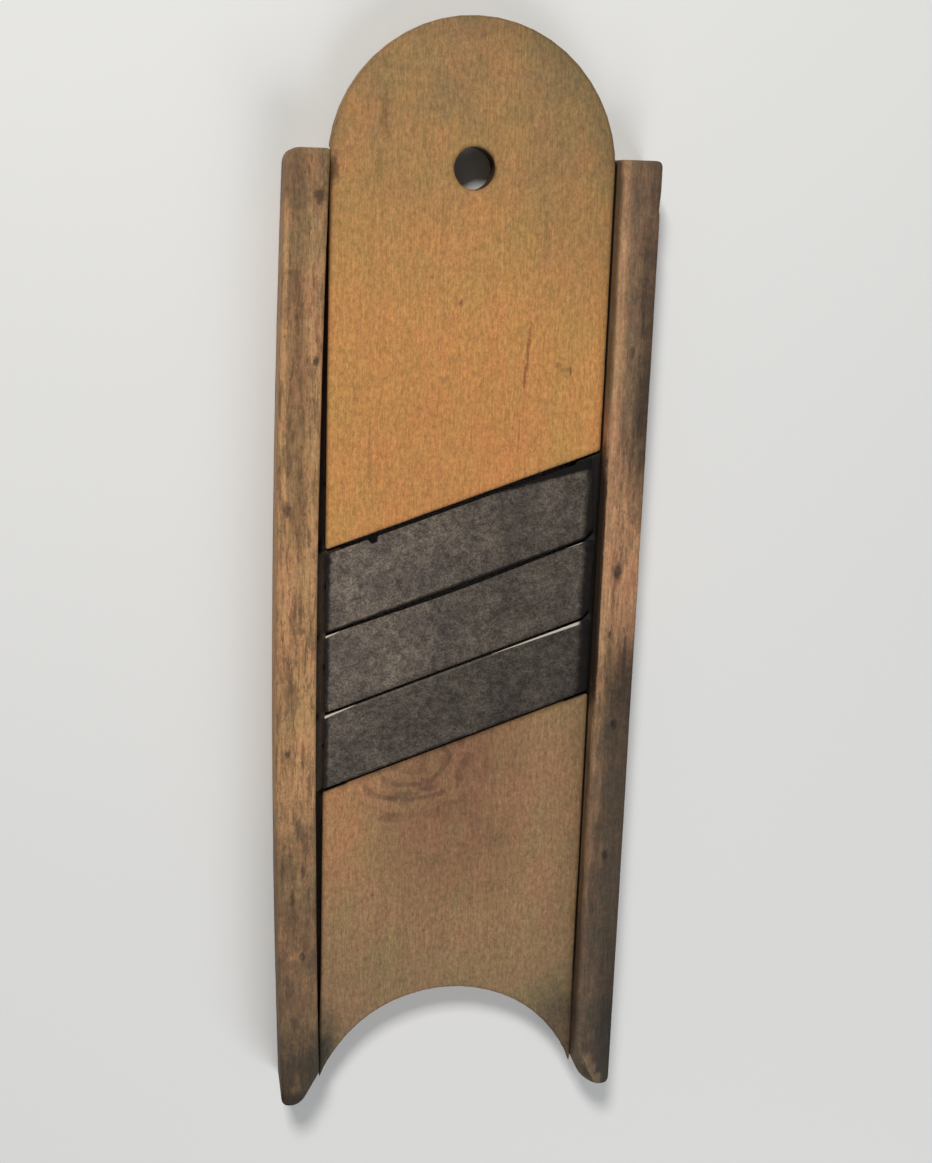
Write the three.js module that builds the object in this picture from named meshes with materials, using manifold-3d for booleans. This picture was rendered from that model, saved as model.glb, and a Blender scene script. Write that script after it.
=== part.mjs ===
// A wooden vegetable slicer (mandoline): two side rails carry an upper and a lower board,
// and three steel knives lie across the gap between the boards, slanted to the rails.
//
// Millimetres. The slicer lies on its back: +Z points out of the slicing face, +Y towards
// the rounded handle end and +X across. The shape is worked out with Y = 0 at the feet and
// X = 0 on the boards' centre line, and the whole is then moved so that the origin is the
// middle of its underside.

import * as THREE from 'three';
import { mergeVertices } from 'three/addons/utils/BufferGeometryUtils.js';
import Module from 'manifold-3d';

const wasm = await Module();
wasm.setup();

// ---- driving dimensions ----------------------------------------------------------------

const FIT_GAP = 0.3;               // left between pieces that touch

const RAIL_LENGTH = 410;
const RAIL_WIDTH = 17;
const RAIL_DEPTH = 26;
const RAIL_ARRIS = 1.4;            // worn rounding of the rails' long edges
const LEFT_BOW = 3.4;              // how far the left rail has warped outwards at mid-length
const CHANNEL_HALF_WIDTH = 57.8;   // centre line to a rail's inner face, at the rail's ends

const BOARD_FACE = 18;             // height of the boards' working face
const BOARD_THICKNESS = 12;
const BOARD_HALF_WIDTH = 57.4;
const BOARD_ARRIS = 0.7;
const BOARD_TOP = 462;             // the rounded handle's highest point
const HANG_HOLE_RADIUS = 8.2;

const FOOT_ARCH_RADIUS = 60.2;     // the round cut between the feet
const FOOT_ARCH_APEX = 49.5;
const FOOT_CORNER = 3;
const RIGHT_TOP_CORNER = 2.2;
const LEFT_TOP_CORNER = 5;

// The slanted inner side of each foot: the height it starts at on the rail's inner face, where
// its line meets the flat end, and the rounding there.
const LEFT_TOE = { height: 14.5, end: 66, rounding: 6 };
const RIGHT_TOE = { height: 11.5, end: 63.5, rounding: 9 };

const LEDGE_WIDTH = 10.5;          // the ledge along a rail's inner face that carries the boards
const LEDGE_THICKNESS = 5.4;
const SEAT_ROOT = 1;               // how deep the knife seats are let into the ledge

const KNIFE_SLANT = THREE.MathUtils.degToRad(20);
const KNIFE_PITCH = 34.9;          // from knife to knife, along the rails
const FIRST_EDGE_Y = 270.7;        // the upper board's lower edge on the centre line
const THROAT = 1.4;                // free width in front of each cutting edge
const KNIFE_THICKNESS = 1.6;
const KNIFE_STEP = 1.4;            // rise from a knife's back to its cutting edge
const KNIFE_TOP = 17.9;            // height of the knives' upper faces at mid-width
const BEVEL_LENGTH = 4.5;
const EDGE_THICKNESS = 0.15;
const CLIP_RISE = 0.7;             // a clipped corner's width for each millimetre of its length
const KNIFE_TRAVEL = 1;            // adjustment each way along the slots

const STUD_RADIUS = 1.6;
const STUD_END = 1.4;
const STUD_HEAD_ROOM = 0.4;        // between a stud's top and the knife's underside
const STUD_CHAMFER = 0.4;
const SLOT_CLEARANCE = 0.4;
const RIGHT_STUD_X = 52.6;
const LEFT_STUD_X = -54.6;
const WASHER_RADIUS = 3.5;
const WASHER_THICKNESS = 0.8;
const NUT_WIDTH = 6.4;
const NUT_THICKNESS = 2.6;
const NUT_ARRIS = 0.35;

const SCREW_HEAD_RADIUS = 3;
const SCREW_HEAD_HEIGHT = 1.6;
const SCREW_SHANK_RADIUS = 1.4;
const SCREW_LENGTH = 9.2;
const SCREW_POINT = 2.4;
const SCREW_SLOT_WIDTH = 0.8;
const SCREW_SLOT_DEPTH = 0.8;
const SCREW_INSET = 5.2;           // from a rail's inner face to the screw's axis
const FIRST_SLOT_ANGLE = 0.6;      // of a board's first screw, and the turn to each next one
const SLOT_ANGLE_STEP = 1.1;

// ---- worked-out positions --------------------------------------------------------------

const BOARD_BACK = BOARD_FACE - BOARD_THICKNESS;
const LEDGE_BOTTOM = BOARD_BACK + FIT_GAP;
const LEDGE_TOP = LEDGE_BOTTOM + LEDGE_THICKNESS;
const HANDLE_RADIUS = BOARD_HALF_WIDTH;
const HANG_HOLE_Y = BOARD_TOP - HANDLE_RADIUS;
const FOOT_ARCH_Y = FOOT_ARCH_APEX - FOOT_ARCH_RADIUS;
const KNIFE_WIDTH = KNIFE_PITCH * Math.cos(KNIFE_SLANT) - THROAT;
const KNIFE_TILT = Math.asin(KNIFE_STEP / KNIFE_WIDTH);
const PAST = 10;                   // how far a cutting tool runs past what it cuts
const FINE_ARC = 24;               // half the sides of a large circle, and of a small one
const SMALL_ARC = 10;
const TURNED_SIDES = 20;
const CORNER_STEPS = 5;
const BOW_STEPS = 14;
const HOLLOW_STEPS = 12;

// Each knife's own outline: where its ends stand across the slicer at the cutting edge and
// at the back, how far its back runs on beyond its seat's middle line, how hollow its cutting
// edge is worn, the clipped corners at its right end, and a nick in its edge if it has one.
const KNIVES = [
  {
    name: 'upper_knife',
    right: { edge: 53.6, back: 56.8 },
    backExtra: 0.8,
    hollow: 0,
    clipBack: 4.6,
    clipEdge: 0,
    nick: { x: -38, width: 4.6, depth: 2.6 },
  },
  {
    name: 'middle_knife',
    right: { edge: 56, back: 56.9 },
    backExtra: 0.8,
    hollow: 1.2,
    clipBack: 4,
    clipEdge: 2.2,
    nick: null,
  },
  {
    name: 'lower_knife',
    right: { edge: 55.6, back: 56.6 },
    backExtra: 0,
    hollow: 0,
    clipBack: 0,
    clipEdge: 2.6,
    nick: null,
  },
];
const KNIFE_LEFT_END = -57;

// ---- materials -------------------------------------------------------------------------

function makeMaterial(colour, roughness, metalness) {
  return new THREE.MeshStandardMaterial({ color: colour, roughness, metalness });
}

const railWood = () => makeMaterial(0x84654a, 0.78, 0);
const upperWood = () => makeMaterial(0xb3834d, 0.7, 0);
const lowerWood = () => makeMaterial(0x8a694b, 0.74, 0);
const knifeSteel = () => makeMaterial(0x4f4843, 0.6, 0.7);
const fixingSteel = () => makeMaterial(0x6b6661, 0.5, 0.85);

// ---- joining and cutting ---------------------------------------------------------------

function toSolid(geometry) {
  const bare = geometry.index ? geometry.toNonIndexed() : geometry.clone();
  bare.deleteAttribute('normal');
  bare.deleteAttribute('uv');
  const merged = mergeVertices(bare, 1e-5);
  return new wasm.Manifold(new wasm.Mesh({
    numProp: 3,
    vertProperties: new Float32Array(merged.attributes.position.array),
    triVerts: new Uint32Array(merged.index.array),
  }));
}

function toGeometry(solid) {
  const mesh = solid.getMesh();
  const geometry = new THREE.BufferGeometry();
  geometry.setAttribute('position', new THREE.BufferAttribute(mesh.vertProperties, 3));
  geometry.setIndex(new THREE.BufferAttribute(mesh.triVerts, 1));
  geometry.computeVertexNormals();
  return geometry;
}

function cutAll(solid, cutters) {
  return cutters.reduce((left, cutter) => left.subtract(cutter), solid);
}

// A flat outline raised from one height to another, with its arrises rounded if asked.
function raise(outline, low, high, arris = 0) {
  const options = { depth: high - low - 2 * arris, bevelEnabled: arris > 0, curveSegments: FINE_ARC / 2 };
  if (arris > 0) {
    options.bevelSize = arris;
    options.bevelOffset = -arris;
    options.bevelThickness = arris;
    options.bevelSegments = 2;
  }
  const geometry = new THREE.ExtrudeGeometry(outline, options);
  geometry.translate(0, 0, low + arris);
  return toSolid(geometry);
}

function polygon(points) {
  return new THREE.Shape(points.map(([x, y]) => new THREE.Vector2(x, y)));
}

function rectangle(left, right, low, high) {
  return polygon([[left, low], [right, low], [right, high], [left, high]]);
}

function disc(x, y, radius, low, high, arc = SMALL_ARC) {
  const outline = new THREE.Shape();
  outline.absarc(x, y, radius, 0, 2 * Math.PI, false);
  const geometry = new THREE.ExtrudeGeometry(outline, {
    depth: high - low,
    bevelEnabled: false,
    curveSegments: arc,
  });
  geometry.translate(0, 0, low);
  return toSolid(geometry);
}

// ---- the slicer's own lines ------------------------------------------------------------

// Outward shift of a rail at height y up the slicer: the right rail (side +1) is straight.
function bow(side, y) {
  const half = RAIL_LENGTH / 2;
  const across = (y - half) / half;
  return side > 0 ? 0 : LEFT_BOW * Math.max(0, 1 - across * across);
}

function innerFace(side, y) {
  return side * (CHANNEL_HALF_WIDTH + bow(side, y));
}

// The slanted line number k: 0 is the upper board's lower edge, 3 the lower board's top.
// A shift is measured square to the line, towards the handle.
function slantedY(k, x, shift = 0) {
  const onCentre = FIRST_EDGE_Y - k * KNIFE_PITCH + shift / Math.cos(KNIFE_SLANT);
  return onCentre + x * Math.tan(KNIFE_SLANT);
}

// ---- boards ----------------------------------------------------------------------------

// Rebates that let the board's underside drop between the rails' ledges.
function ledgeRebates() {
  const inner = CHANNEL_HALF_WIDTH - LEDGE_WIDTH - FIT_GAP;
  const outer = BOARD_HALF_WIDTH + PAST;
  const low = BOARD_BACK - PAST;
  const high = LEDGE_TOP + FIT_GAP;
  const top = RAIL_LENGTH + FIT_GAP;
  return [-1, 1].map((side) => raise(
    rectangle(Math.min(side * inner, side * outer), Math.max(side * inner, side * outer), -PAST, top),
    low,
    high,
  ));
}

function screwHoles(places) {
  const reach = LEDGE_BOTTOM + SCREW_LENGTH + FIT_GAP;
  const radius = SCREW_SHANK_RADIUS + FIT_GAP;
  return places.map(([x, y]) => disc(x, y, radius, BOARD_BACK - PAST, reach));
}

function upperBoard(screws) {
  const half = BOARD_HALF_WIDTH;
  const outline = new THREE.Shape();
  outline.moveTo(-half, slantedY(0, -half, THROAT / 2));
  outline.lineTo(half, slantedY(0, half, THROAT / 2));
  outline.lineTo(half, HANG_HOLE_Y);
  outline.absarc(0, HANG_HOLE_Y, HANDLE_RADIUS, 0, Math.PI, false);
  const body = raise(outline, BOARD_BACK, BOARD_FACE, BOARD_ARRIS);
  const hole = disc(0, HANG_HOLE_Y, HANG_HOLE_RADIUS, BOARD_BACK - PAST, BOARD_FACE + PAST, FINE_ARC);
  return cutAll(body, [hole, ...ledgeRebates(), ...screwHoles(screws)]);
}

function footArch() {
  return disc(0, FOOT_ARCH_Y, FOOT_ARCH_RADIUS, -PAST, RAIL_DEPTH + PAST, 2 * FINE_ARC);
}

function lowerBoard(screws) {
  const half = BOARD_HALF_WIDTH;
  const reach = Math.sqrt(FOOT_ARCH_RADIUS ** 2 - half ** 2);
  const tipY = FOOT_ARCH_Y + reach;
  const tipAngle = Math.atan2(reach, half);
  const outline = new THREE.Shape();
  outline.moveTo(half, tipY);
  outline.lineTo(half, slantedY(3, half, -THROAT / 2));
  outline.lineTo(-half, slantedY(3, -half, -THROAT / 2));
  outline.lineTo(-half, tipY);
  outline.absarc(0, FOOT_ARCH_Y, FOOT_ARCH_RADIUS, Math.PI - tipAngle, tipAngle, true);
  const body = raise(outline, BOARD_BACK, BOARD_FACE, BOARD_ARRIS);
  return cutAll(body, [...ledgeRebates(), ...screwHoles(screws)]);
}

// ---- rails -----------------------------------------------------------------------------

// Points along one long side of a rail, offset outwards from its inner face.
function longSide(side, offset, from, to) {
  const steps = side > 0 ? 1 : BOW_STEPS;
  const points = [];
  for (let i = 0; i <= steps; i += 1) {
    const y = THREE.MathUtils.lerp(from, to, i / steps);
    points.push([innerFace(side, y) + side * offset, y]);
  }
  return points;
}

// The corner b between a and c, rounded off by an arc that touches both sides.
function roundedCorner(a, b, c, radius) {
  const corner = new THREE.Vector2(...b);
  const toA = new THREE.Vector2(...a).sub(corner).normalize();
  const toC = new THREE.Vector2(...c).sub(corner).normalize();
  const half = Math.acos(toA.dot(toC)) / 2;
  const centre = toA.clone().add(toC).setLength(radius / Math.sin(half));
  const spoke = toA.clone().multiplyScalar(radius / Math.tan(half)).sub(centre);
  const turn = Math.sign(toA.cross(toC)) * (Math.PI - 2 * half);
  const points = [];
  for (let i = 0; i <= CORNER_STEPS; i += 1) {
    const arm = spoke.clone().rotateAround(new THREE.Vector2(), -turn * (i / CORNER_STEPS));
    points.push([corner.x + centre.x + arm.x, corner.y + centre.y + arm.y]);
  }
  return points;
}

function toeOf(side) {
  return side > 0 ? RIGHT_TOE : LEFT_TOE;
}

// A rail seen from the front: slanted toe at the foot, straight or bowed sides.
function railOutline(side) {
  const corner = side > 0 ? RIGHT_TOP_CORNER : LEFT_TOP_CORNER;
  const outer = side * (CHANNEL_HALF_WIDTH + RAIL_WIDTH);
  const toe = toeOf(side);
  const toeTop = [innerFace(side, toe.height), toe.height];
  const toeEnd = [side * toe.end, 0];
  const heel = [outer, 0];
  const topOuter = [outer, RAIL_LENGTH];
  const topInner = [side * CHANNEL_HALF_WIDTH, RAIL_LENGTH];
  const ring = [
    ...roundedCorner(toeTop, toeEnd, heel, toe.rounding),
    ...roundedCorner(toeEnd, heel, topOuter, FOOT_CORNER).slice(0, -1),
    ...longSide(side, RAIL_WIDTH, FOOT_CORNER, RAIL_LENGTH - corner),
    ...roundedCorner(heel, topOuter, topInner, corner).slice(1),
    ...longSide(side, 0, RAIL_LENGTH, toe.height),
  ];
  return polygon(side > 0 ? ring : ring.reverse());
}

// The ledge that stands out of a rail's inner face, seen from the front.
function ledgeOutline(side, from, to) {
  const root = longSide(side, RAIL_WIDTH / 2, from, to);
  const lip = longSide(side, -LEDGE_WIDTH, to, from);
  const ring = [...root, ...lip];
  return polygon(side > 0 ? ring : ring.reverse());
}

// The part of the slicer between two slanted lines, as a raised block.
function slantedBand(high, highShift, low, lowShift, bottom, top) {
  const reach = CHANNEL_HALF_WIDTH + RAIL_WIDTH + PAST;
  return raise(
    polygon([
      [-reach, slantedY(low, -reach, lowShift)],
      [reach, slantedY(low, reach, lowShift)],
      [reach, slantedY(high, reach, highShift)],
      [-reach, slantedY(high, -reach, highShift)],
    ]),
    bottom,
    top,
  );
}

// Placement of knife k: x along the cutting edge, y in its own face towards the edge.
function knifeFrame(k) {
  const middle = slantedY(k, 0, -(THROAT + KNIFE_WIDTH) / 2);
  const frame = new THREE.Matrix4().makeTranslation(0, middle, KNIFE_TOP);
  frame.multiply(new THREE.Matrix4().makeRotationZ(KNIFE_SLANT));
  frame.multiply(new THREE.Matrix4().makeRotationX(KNIFE_TILT));
  return frame;
}

// The room above knife k's seat: a slab lying on the seat, from riser to riser.
function seatCutter(k) {
  const riser = THROAT / 2 - KNIFE_TRAVEL - FIT_GAP;
  const half = (KNIFE_WIDTH + THROAT) / 2;
  const high = k === 0 ? half + PAST : half + riser;
  const low = k === KNIVES.length - 1 ? -half - PAST : -half + riser - KNIVES[k].backExtra;
  const geometry = new THREE.BoxGeometry(4 * CHANNEL_HALF_WIDTH, high - low, PAST);
  geometry.translate(0, (high + low) / 2, PAST / 2 - KNIFE_THICKNESS - FIT_GAP);
  geometry.applyMatrix4(knifeFrame(k));
  return toSolid(geometry);
}

// A round-ended slot for a stud, square to the knife.
function studSlot(x, y) {
  const radius = STUD_RADIUS + SLOT_CLEARANCE;
  const reach = KNIFE_TRAVEL + SLOT_CLEARANCE;
  const outline = new THREE.Shape();
  outline.absarc(0, reach, radius, 0, Math.PI, false);
  outline.absarc(0, -reach, radius, Math.PI, 2 * Math.PI, false);
  const geometry = new THREE.ExtrudeGeometry(outline, {
    depth: RAIL_DEPTH,
    bevelEnabled: false,
    curveSegments: SMALL_ARC,
  });
  geometry.rotateZ(KNIFE_SLANT);
  geometry.translate(x, y, 0);
  return toSolid(geometry);
}

// Clearance for a countersunk screw driven up through the ledge.
function screwBore(x, y) {
  const profile = [
    [0, -PAST],
    [SCREW_HEAD_RADIUS + FIT_GAP, -PAST],
    [SCREW_HEAD_RADIUS + FIT_GAP, FIT_GAP],
    [SCREW_SHANK_RADIUS + FIT_GAP, SCREW_HEAD_HEIGHT + FIT_GAP],
    [SCREW_SHANK_RADIUS + FIT_GAP, LEDGE_THICKNESS + PAST],
    [0, LEDGE_THICKNESS + PAST],
  ];
  return toSolid(turned(profile).translate(x, y, LEDGE_BOTTOM));
}

function rail(side, studs, screws) {
  const body = raise(railOutline(side), 0, RAIL_DEPTH, RAIL_ARRIS);
  const outline = ledgeOutline(side, toeOf(side).height, RAIL_LENGTH);
  const ledge = raise(outline, LEDGE_BOTTOM, LEDGE_TOP);
  const nearBoards = THROAT / 2 - FIT_GAP;
  const seatRoot = LEDGE_TOP - SEAT_ROOT;
  const seatBand = slantedBand(0, nearBoards, KNIVES.length, -nearBoards, seatRoot, BOARD_FACE);
  const seats = raise(outline, seatRoot, BOARD_FACE).intersect(seatBand);
  const steps = KNIVES.map((_, k) => seatCutter(k));
  const shelf = cutAll(ledge.add(seats).subtract(footArch()), [
    ...steps,
    ...studs.map(([x, y]) => studSlot(x, y)),
    ...screws.map(([x, y]) => screwBore(x, y)),
  ]);
  return body.add(shelf);
}

// ---- knives ----------------------------------------------------------------------------

// Distance along knife k's edge of a point that stands x across the slicer.
function alongKnife(x, y) {
  return (x + y * Math.cos(KNIFE_TILT) * Math.sin(KNIFE_SLANT)) / Math.cos(KNIFE_SLANT);
}

// The cutting edge from right to left: straight but for its nick, or worn hollow.
function cuttingEdge(spec, right, left, edge) {
  if (spec.nick) {
    const middle = alongKnife(spec.nick.x, edge);
    const half = spec.nick.width / 2;
    return [
      [right, edge],
      [middle + half, edge],
      [middle + half / 2, edge - spec.nick.depth],
      [middle - half / 2, edge - spec.nick.depth],
      [middle - half, edge],
      [left, edge],
    ];
  }
  const points = [];
  for (let i = 0; i <= HOLLOW_STEPS; i += 1) {
    const share = i / HOLLOW_STEPS;
    const worn = spec.hollow * Math.sin(Math.PI * share) ** 2;
    points.push([THREE.MathUtils.lerp(right, left, share), edge - worn]);
  }
  return spec.hollow > 0 ? points : [points[0], points[HOLLOW_STEPS]];
}

function knife(spec) {
  const edge = KNIFE_WIDTH / 2;
  const back = -edge - spec.backExtra;
  const rightEdge = alongKnife(spec.right.edge, edge);
  const rightBack = alongKnife(spec.right.back, back);
  const points = [[alongKnife(KNIFE_LEFT_END, back), back]];
  if (spec.clipBack > 0) {
    points.push([rightBack - spec.clipBack, back]);
  }
  points.push([rightBack, back + spec.clipBack * CLIP_RISE]);
  if (spec.clipEdge > 0) {
    points.push([rightEdge, edge - spec.clipEdge * CLIP_RISE]);
  }
  points.push(...cuttingEdge(spec, rightEdge - spec.clipEdge, alongKnife(KNIFE_LEFT_END, edge), edge));
  const blank = raise(polygon(points), -KNIFE_THICKNESS, 0);

  const bevel = new THREE.BoxGeometry(4 * CHANNEL_HALF_WIDTH, 4 * BEVEL_LENGTH, 2 * PAST);
  bevel.translate(0, 0, -PAST);
  bevel.rotateX(Math.atan2(KNIFE_THICKNESS, BEVEL_LENGTH));
  bevel.translate(0, edge, -EDGE_THICKNESS);
  return blank.subtract(toSolid(bevel));
}

// ---- fixings ---------------------------------------------------------------------------

function turned(profile) {
  const points = profile.map(([radius, height]) => new THREE.Vector2(radius, height));
  const geometry = new THREE.LatheGeometry(points, TURNED_SIDES);
  geometry.rotateX(Math.PI / 2);
  return geometry;
}

function stud() {
  const top = KNIFE_TOP - KNIFE_THICKNESS - STUD_HEAD_ROOM;
  return toSolid(turned([
    [0, STUD_END],
    [STUD_RADIUS - STUD_CHAMFER, STUD_END],
    [STUD_RADIUS, STUD_END + STUD_CHAMFER],
    [STUD_RADIUS, top],
    [0, top],
  ]));
}

function washer() {
  const high = LEDGE_BOTTOM - FIT_GAP;
  const body = disc(0, 0, WASHER_RADIUS, high - WASHER_THICKNESS, high);
  return body.subtract(disc(0, 0, STUD_RADIUS + FIT_GAP, 0, RAIL_DEPTH));
}

function squareNut() {
  const high = LEDGE_BOTTOM - 2 * FIT_GAP - WASHER_THICKNESS;
  const half = NUT_WIDTH / 2;
  const body = raise(rectangle(-half, half, -half, half), high - NUT_THICKNESS, high, NUT_ARRIS);
  return body.subtract(disc(0, 0, STUD_RADIUS + FIT_GAP, 0, RAIL_DEPTH));
}

function woodScrew() {
  const body = toSolid(turned([
    [0, 0],
    [SCREW_HEAD_RADIUS, 0],
    [SCREW_SHANK_RADIUS, SCREW_HEAD_HEIGHT],
    [SCREW_SHANK_RADIUS, SCREW_LENGTH - SCREW_POINT],
    [0, SCREW_LENGTH],
  ]));
  const reach = SCREW_HEAD_RADIUS + PAST;
  const half = SCREW_SLOT_WIDTH / 2;
  return body.subtract(raise(rectangle(-reach, reach, -half, half), -PAST, SCREW_SLOT_DEPTH));
}

// ---- places of the fixings -------------------------------------------------------------

// Both studs of knife k, on the middle of its width.
function studPlaces(k) {
  const shift = -(THROAT + KNIFE_WIDTH) / 2;
  return {
    left: [LEFT_STUD_X, slantedY(k, LEFT_STUD_X, shift)],
    right: [RIGHT_STUD_X, slantedY(k, RIGHT_STUD_X, shift)],
  };
}

// A board screw stands on the middle of the ledge beside the rail at height y.
function screwPlace(side, y) {
  return [innerFace(side, y) - side * SCREW_INSET, y];
}

const BOARD_SCREWS = {
  upper_board: {
    left_low: screwPlace(-1, 277),
    left_high: screwPlace(-1, 390),
    right_low: screwPlace(1, 312),
    right_high: screwPlace(1, 390),
  },
  lower_board: {
    left_low: screwPlace(-1, 45),
    left_high: screwPlace(-1, 128),
    right_low: screwPlace(1, 45),
    right_high: screwPlace(1, 164),
  },
};

// ---- assembly --------------------------------------------------------------------------

const slicer = new THREE.Group();
slicer.position.set(LEFT_BOW / 2, -BOARD_TOP / 2, 0);

function place(parent, name, solid, material) {
  const mesh = new THREE.Mesh(toGeometry(solid), material);
  mesh.name = name;
  parent.add(mesh);
  return mesh;
}

const railStuds = { left: [], right: [] };
KNIVES.forEach((_, k) => {
  const places = studPlaces(k);
  railStuds.left.push(places.left);
  railStuds.right.push(places.right);
});

function screwsOn(side) {
  return Object.values(BOARD_SCREWS).flatMap((board) => Object.entries(board)
    .filter(([name]) => name.startsWith(side))
    .map(([, spot]) => spot));
}

place(slicer, 'left_rail', rail(-1, railStuds.left, screwsOn('left')), railWood());
place(slicer, 'right_rail', rail(1, railStuds.right, screwsOn('right')), railWood());
place(slicer, 'upper_board', upperBoard(Object.values(BOARD_SCREWS.upper_board)), upperWood());
place(slicer, 'lower_board', lowerBoard(Object.values(BOARD_SCREWS.lower_board)), lowerWood());

KNIVES.forEach((spec, k) => {
  const blade = place(slicer, spec.name, knife(spec), knifeSteel());
  blade.applyMatrix4(knifeFrame(k));
  for (const [side, [x, y]] of Object.entries(studPlaces(k))) {
    const fixings = new THREE.Group();
    fixings.position.set(x, y, 0);
    slicer.add(fixings);
    place(fixings, `${spec.name}_${side}_stud`, stud(), fixingSteel());
    place(fixings, `${spec.name}_${side}_washer`, washer(), fixingSteel());
    const nut = place(fixings, `${spec.name}_${side}_nut`, squareNut(), fixingSteel());
    nut.rotation.z = KNIFE_SLANT;
  }
});

for (const [board, spots] of Object.entries(BOARD_SCREWS)) {
  Object.entries(spots).forEach(([spot, [x, y]], i) => {
    const screw = place(slicer, `${board}_screw_${spot}`, woodScrew(), fixingSteel());
    screw.position.set(x, y, LEDGE_BOTTOM);
    screw.rotation.z = FIRST_SLOT_ANGLE + SLOT_ANGLE_STEP * i;
  });
}

export default slicer;
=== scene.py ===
"""Looks of an old wooden vegetable slicer (mandoline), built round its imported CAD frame.

Metres, in the row frame: the slicer lies on its back, +Z out of the slicing face, +Y towards
the rounded handle end, +X across. Marks on the wood are placed in millimetres from the
boards' centre line and from the feet.
"""

import functools
import math

import bmesh
import bpy
import numpy as np
from mathutils import Matrix, Vector, noise


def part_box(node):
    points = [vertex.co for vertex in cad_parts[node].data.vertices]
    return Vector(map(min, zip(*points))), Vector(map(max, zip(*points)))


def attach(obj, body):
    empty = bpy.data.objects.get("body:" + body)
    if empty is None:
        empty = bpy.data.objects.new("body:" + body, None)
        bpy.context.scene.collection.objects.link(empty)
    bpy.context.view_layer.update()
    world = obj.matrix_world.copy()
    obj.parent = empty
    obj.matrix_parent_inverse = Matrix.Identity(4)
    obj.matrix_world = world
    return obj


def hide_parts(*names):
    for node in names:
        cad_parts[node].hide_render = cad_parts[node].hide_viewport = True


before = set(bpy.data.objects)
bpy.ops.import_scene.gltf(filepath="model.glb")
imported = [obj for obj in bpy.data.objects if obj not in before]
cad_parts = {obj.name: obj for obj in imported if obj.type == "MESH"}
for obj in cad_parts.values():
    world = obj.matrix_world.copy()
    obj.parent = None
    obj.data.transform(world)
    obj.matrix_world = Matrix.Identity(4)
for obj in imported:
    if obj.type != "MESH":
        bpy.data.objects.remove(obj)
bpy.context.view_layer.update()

MM = 0.001
KNIVES = ("upper_knife", "middle_knife", "lower_knife")
SIDES = ("left", "right")

# ---- places read from the frame ---------------------------------------------

board_low, board_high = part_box("upper_board")
rail_low, rail_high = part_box("right_rail")

CENTRE_X = (board_low.x + board_high.x) / 2
FEET_Y = rail_low.y
RAIL_LENGTH = (rail_high.y - rail_low.y) / MM
SLICER_LENGTH = (board_high.y - FEET_Y) / MM
FACE_Z = board_high.z
HALF_BOARD = (board_high.x - board_low.x) / 2 / MM

# ---- shapes that the boxes do not tell, in millimetres ----------------------

ARCH_CENTRE_Y = SLICER_LENGTH - HALF_BOARD    # centre of the handle's round end and of its hole
HOLE_RADIUS = 8.2
LEDGE_BACK = 6.3
LEDGE_INNER_EDGE = 47.3       # reaches from the centre line: a ledge's inner edge
RAIL_INNER = 57.8             # a rail's inner wall at its ends
RAIL_INNER_REACH = 62.5       # the inner wall of the warped rail, with its arris
KNIFE_SLANT = math.radians(20)


def from_feet(x, y):
    """A place x mm from the slicer's centre line and y mm up from its feet, in row millimetres."""
    return CENTRE_X / MM + x, FEET_Y / MM + y


# ---- camera, light and floor ------------------------------------------------

SENSOR = 36.0
LENS = 47.9
CAMERA_DISTANCE = 0.650
CAMERA_AIM = Vector((0.0035, 0.0059, 0.018))
CAMERA_AZIMUTH = math.radians(217.5)
CAMERA_ELEVATION = math.radians(72.7)
CAMERA_ROLL = math.radians(1.9)

KEY_PLACE = (-0.42, 1.27, 1.30)
KEY_SIZE = 0.35
KEY_POWER = 25.5
FILL_PLACE = (0.45, -1.25, 1.05)
FILL_SIZE = 1.2
FILL_POWER = 15.0
SKY_STRENGTH = 0.12
FLOOR_REACH = 4.0


def make_camera():
    back = Vector((
        math.sin(CAMERA_AZIMUTH) * math.cos(CAMERA_ELEVATION),
        -math.cos(CAMERA_AZIMUTH) * math.cos(CAMERA_ELEVATION),
        math.sin(CAMERA_ELEVATION),
    ))
    lengthwise = Vector((0, 1, 0))
    up = (lengthwise - lengthwise.dot(back) * back).normalized()
    up.rotate(Matrix.Rotation(CAMERA_ROLL, 3, back))
    right = up.cross(back)
    data = bpy.data.cameras.new("camera")
    data.sensor_width = SENSOR
    data.lens = LENS
    data.clip_start = 0.01
    camera = bpy.data.objects.new("camera", data)
    turn = Matrix((right, up, back)).transposed().to_4x4()
    camera.matrix_world = Matrix.Translation(CAMERA_AIM + back * CAMERA_DISTANCE) @ turn
    bpy.context.scene.collection.objects.link(camera)
    bpy.context.scene.camera = camera


def soft_light(name, place, size, power, colour):
    data = bpy.data.lights.new(name, "AREA")
    data.shape = "SQUARE"
    data.size = size
    data.energy = power
    data.color = colour
    lamp = bpy.data.objects.new(name, data)
    lamp.location = place
    lamp.rotation_mode = "QUATERNION"
    lamp.rotation_quaternion = (-Vector(place)).to_track_quat("-Z", "Y")
    bpy.context.scene.collection.objects.link(lamp)


def make_lights():
    soft_light("key_light", KEY_PLACE, KEY_SIZE, KEY_POWER, (1.0, 0.985, 0.95))
    soft_light("fill_light", FILL_PLACE, FILL_SIZE, FILL_POWER, (0.97, 0.98, 1.0))
    world = bpy.data.worlds.new("studio")
    world.use_nodes = True
    sky = world.node_tree.nodes["Background"]
    sky.inputs["Color"].default_value = (0.93, 0.95, 0.98, 1)
    sky.inputs["Strength"].default_value = SKY_STRENGTH
    bpy.context.scene.world = world
    bpy.context.scene.view_settings.view_transform = "Standard"


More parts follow.
